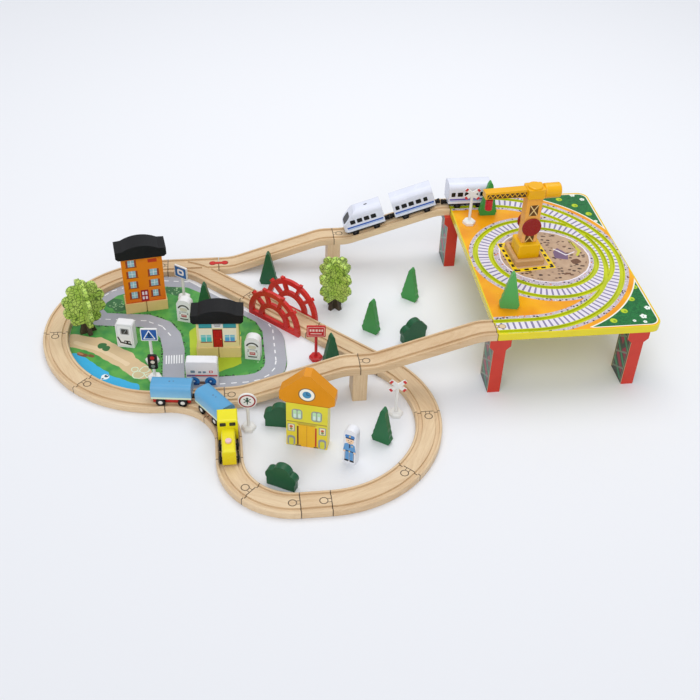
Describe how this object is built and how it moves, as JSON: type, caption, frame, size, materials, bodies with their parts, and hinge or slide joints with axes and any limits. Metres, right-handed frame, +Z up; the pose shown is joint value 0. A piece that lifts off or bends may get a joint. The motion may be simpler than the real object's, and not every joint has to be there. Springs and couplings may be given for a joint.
{
  "type": "wooden train set",
  "caption": "Wooden toy railway in a closed layout: grooved track, ramps up to a printed table with a turning crane, two short trains, a bridge and a small town.",
  "frame": {"origin": "centre of the layout's bounding box at floor level", "axes": "+X along the layout's long side towards the table, +Y to the back, +Z up"},
  "size_m": [0.978, 0.638, 0.2548],
  "materials": {
    "ambulance": "printed block",
    "back_switch": "natural smooth",
    "black_roofs": "black lacquer",
    "bridge_sides": "red lacquer",
    "bushes": "green lacquer",
    "cottage": "printed block",
    "crane_base": "tan lacquer",
    "crane_counterweight": "yellow",
    "crane_crank": "dark red lacquer",
    "crane_jib": "yellow",
    "crane_mast": "orange-tan lacquer with printed lattice",
    "crane_plinth": "yellow lacquer",
    "express_loco_chassis": "black",
    "express_loco_front_wheels": "black",
    "express_loco_rear_wheels": "black",
    "express_loco_shell": "white with printed windows",
    "express_middle_chassis": "black",
    "express_middle_front_wheels": "black",
    "express_middle_rear_wheels": "black",
    "express_middle_shell": "white with printed windows",
    "express_tail_chassis": "black",
    "express_tail_front_wheels": "black",
    "express_tail_rear_wheels": "black",
    "express_tail_shell": "white with printed windows",
    "fir_trees": "green lacquer",
    "freight_loco_body": "yellow",
    "freight_loco_front_wheels": "black",
    "freight_loco_rear_wheels": "black",
    "freight_wagon_1_chassis": "red",
    "freight_wagon_1_front_wheels": "black",
    "freight_wagon_1_load": "light blue lacquer",
    "freight_wagon_1_rear_wheels": "black",
    "freight_wagon_2_chassis": "red",
    "freight_wagon_2_front_wheels": "black",
    "freight_wagon_2_load": "light blue lacquer",
    "freight_wagon_2_rear_wheels": "black",
    "front_switch": "natural smooth",
    "hoist_weight": "red",
    "joint_connector": "gloss",
    "leafy_trees": "printed board",
    "long_straights": "natural smooth",
    "loop_curves": "natural smooth",
    "policeman": "printed block",
    "rail_cross_signs": "white lacquer with printed plate",
    "ramps": "natural smooth",
    "risers": "natural smooth",
    "round_cars": "printed block",
    "round_sign": "white lacquer with printed plate",
    "short_straights": "natural smooth",
    "side_curves": "natural smooth",
    "small_curves": "natural smooth",
    "square_signs": "white lacquer with printed plate",
    "station": "printed block",
    "station_sign": "red lacquer with printed plate",
    "table_legs": "red lacquer with printed sides",
    "table_top": "printed and lacquered board",
    "tall_house": "printed block",
    "town_mat": "printed board",
    "traffic_light": "lacquered, black lamp head",
    "van": "printed block"
  },
  "bodies": {
    "root": {"ambulance": "ambulance", "back_switch": "back_switch", "black_roofs": "black_roofs", "bridge_sides": "bridge_sides", "bushes": "bushes", "cottage": "cottage", "crane_base": "crane_base", "crane_plinth": "crane_plinth", "fir_trees": "fir_trees", "front_switch": "front_switch", "joint_connector": "joint_connector", "leafy_trees": "leafy_trees", "long_straights": "long_straights", "loop_curves": "loop_curves", "policeman": "policeman", "rail_cross_signs": "rail_cross_signs", "ramps": "ramps", "risers": "risers", "round_cars": "round_cars", "round_sign": "round_sign", "short_straights": "short_straights", "side_curves": "side_curves", "small_curves": "small_curves", "square_signs": "square_signs", "station": "station", "station_sign": "station_sign", "table_legs": "table_legs", "table_top": "table_top", "tall_house": "tall_house", "town_mat": "town_mat", "traffic_light": "traffic_light", "van": "van"},
    "crane_turret": {"crane_mast": "crane_mast", "crane_jib": "crane_jib", "crane_counterweight": "crane_counterweight"},
    "crane_winder": {"crane_crank": "crane_crank"},
    "crane_weight": {"hoist_weight": "hoist_weight"},
    "express_loco": {"express_loco_chassis": "express_loco_chassis", "express_loco_shell": "express_loco_shell"},
    "express_loco_front_axle": {"express_loco_front_wheels": "express_loco_front_wheels"},
    "express_loco_rear_axle": {"express_loco_rear_wheels": "express_loco_rear_wheels"},
    "express_middle": {"express_middle_chassis": "express_middle_chassis", "express_middle_shell": "express_middle_shell"},
    "express_middle_front_axle": {"express_middle_front_wheels": "express_middle_front_wheels"},
    "express_middle_rear_axle": {"express_middle_rear_wheels": "express_middle_rear_wheels"},
    "express_tail": {"express_tail_chassis": "express_tail_chassis", "express_tail_shell": "express_tail_shell"},
    "express_tail_front_axle": {"express_tail_front_wheels": "express_tail_front_wheels"},
    "express_tail_rear_axle": {"express_tail_rear_wheels": "express_tail_rear_wheels"},
    "freight_loco": {"freight_loco_body": "freight_loco_body"},
    "freight_loco_front_axle": {"freight_loco_front_wheels": "freight_loco_front_wheels"},
    "freight_loco_rear_axle": {"freight_loco_rear_wheels": "freight_loco_rear_wheels"},
    "freight_wagon_1": {"freight_wagon_1_chassis": "freight_wagon_1_chassis", "freight_wagon_1_load": "freight_wagon_1_load"},
    "freight_wagon_1_front_axle": {"freight_wagon_1_front_wheels": "freight_wagon_1_front_wheels"},
    "freight_wagon_1_rear_axle": {"freight_wagon_1_rear_wheels": "freight_wagon_1_rear_wheels"},
    "freight_wagon_2": {"freight_wagon_2_chassis": "freight_wagon_2_chassis", "freight_wagon_2_load": "freight_wagon_2_load"},
    "freight_wagon_2_front_axle": {"freight_wagon_2_front_wheels": "freight_wagon_2_front_wheels"},
    "freight_wagon_2_rear_axle": {"freight_wagon_2_rear_wheels": "freight_wagon_2_rear_wheels"}
  },
  "joints": [
    {"name": "crane_turn", "type": "hinge", "parent": "root", "child": "crane_turret", "pos_m": [0.32, 0.1235, 0.178], "axis": [0, 0, 1], "continuous": true},
    {"name": "crank_turn", "type": "hinge", "parent": "crane_turret", "child": "crane_winder", "pos_m": [0.32, 0.1235, 0.1813], "axis": [-0.0698, 0.9976, 0], "range_deg": [0, 1440]},
    {"name": "hoist", "type": "slide", "parent": "crane_turret", "child": "crane_weight", "axis": [0, 0, -1], "range_m": [0, 0.076]},
    {"name": "express_run", "type": "slide", "parent": "root", "child": "express_loco", "axis": [-0.9504, 0, -0.3109], "range_m": [-0.006, 0.006]},
    {"name": "express_loco_front_roll", "type": "hinge", "parent": "express_loco", "child": "express_loco_front_axle", "pos_m": [0.05496, 0.299, 0.07369], "axis": [0, -1, 0], "continuous": true},
    {"name": "express_loco_rear_roll", "type": "hinge", "parent": "express_loco", "child": "express_loco_rear_axle", "pos_m": [0.09298, 0.299, 0.08613], "axis": [0, -1, 0], "continuous": true},
    {"name": "express_middle_run", "type": "slide", "parent": "root", "child": "express_middle", "axis": [-0.9504, 0, -0.3109], "range_m": [-0.006, 0.006]},
    {"name": "express_middle_front_roll", "type": "hinge", "parent": "express_middle", "child": "express_middle_front_axle", "pos_m": [0.14497, 0.299, 0.10314], "axis": [0, -1, 0], "continuous": true},
    {"name": "express_middle_rear_roll", "type": "hinge", "parent": "express_middle", "child": "express_middle_rear_axle", "pos_m": [0.18299, 0.299, 0.11558], "axis": [0, -1, 0], "continuous": true},
    {"name": "express_tail_run", "type": "slide", "parent": "root", "child": "express_tail", "axis": [-1, 0, 0], "range_m": [-0.006, 0.006]},
    {"name": "express_tail_front_roll", "type": "hinge", "parent": "express_tail", "child": "express_tail_front_axle", "pos_m": [0.238, 0.299, 0.1213], "axis": [0, -1, 0], "continuous": true},
    {"name": "express_tail_rear_roll", "type": "hinge", "parent": "express_tail", "child": "express_tail_rear_axle", "pos_m": [0.278, 0.299, 0.1213], "axis": [0, -1, 0], "continuous": true},
    {"name": "freight_run", "type": "slide", "parent": "root", "child": "freight_loco", "axis": [0, -1, 0], "range_m": [-0.006, 0.006]},
    {"name": "freight_loco_front_roll", "type": "hinge", "parent": "freight_loco", "child": "freight_loco_front_axle", "pos_m": [-0.192, -0.208, 0.0178], "axis": [1, 0, 0], "continuous": true},
    {"name": "freight_loco_rear_roll", "type": "hinge", "parent": "freight_loco", "child": "freight_loco_rear_axle", "pos_m": [-0.192, -0.182, 0.0178], "axis": [1, 0, 0], "continuous": true},
    {"name": "freight_wagon_1_run", "type": "hinge", "parent": "root", "child": "freight_wagon_1", "pos_m": [-0.287, -0.16, 0.012], "axis": [0, 0, -1], "range_deg": [-3.92, 3.92]},
    {"name": "freight_wagon_1_front_roll", "type": "hinge", "parent": "freight_wagon_1", "child": "freight_wagon_1_front_axle", "pos_m": [-0.20026, -0.12126, 0.0168], "axis": [0.8253, 0.5646, 0], "continuous": true},
    {"name": "freight_wagon_1_rear_roll", "type": "hinge", "parent": "freight_wagon_1", "child": "freight_wagon_1_rear_axle", "pos_m": [-0.21946, -0.09319, 0.0168], "axis": [0.8253, 0.5646, 0], "continuous": true},
    {"name": "freight_wagon_2_run", "type": "hinge", "parent": "root", "child": "freight_wagon_2", "pos_m": [-0.287, -0.16, 0.012], "axis": [0, 0, -1], "range_deg": [-3.92, 3.92]},
    {"name": "freight_wagon_2_front_roll", "type": "hinge", "parent": "freight_wagon_2", "child": "freight_wagon_2_front_axle", "pos_m": [-0.25719, -0.0698, 0.0168], "axis": [0.1388, 0.9903, 0], "continuous": true},
    {"name": "freight_wagon_2_rear_roll", "type": "hinge", "parent": "freight_wagon_2", "child": "freight_wagon_2_rear_axle", "pos_m": [-0.29086, -0.06508, 0.0168], "axis": [0.1388, 0.9903, 0], "continuous": true}
  ],
  "couplings": [
    {"joint": "hoist", "follows": "crank_turn", "m_per_rad": 0.003},
    {"joint": "express_middle_run", "follows": "express_run", "ratio": 1},
    {"joint": "express_tail_run", "follows": "express_run", "ratio": 0.95043},
    {"joint": "freight_wagon_1_run", "follows": "freight_run", "rad_per_m": 10.526},
    {"joint": "freight_wagon_2_run", "follows": "freight_run", "rad_per_m": 10.526}
  ]
}
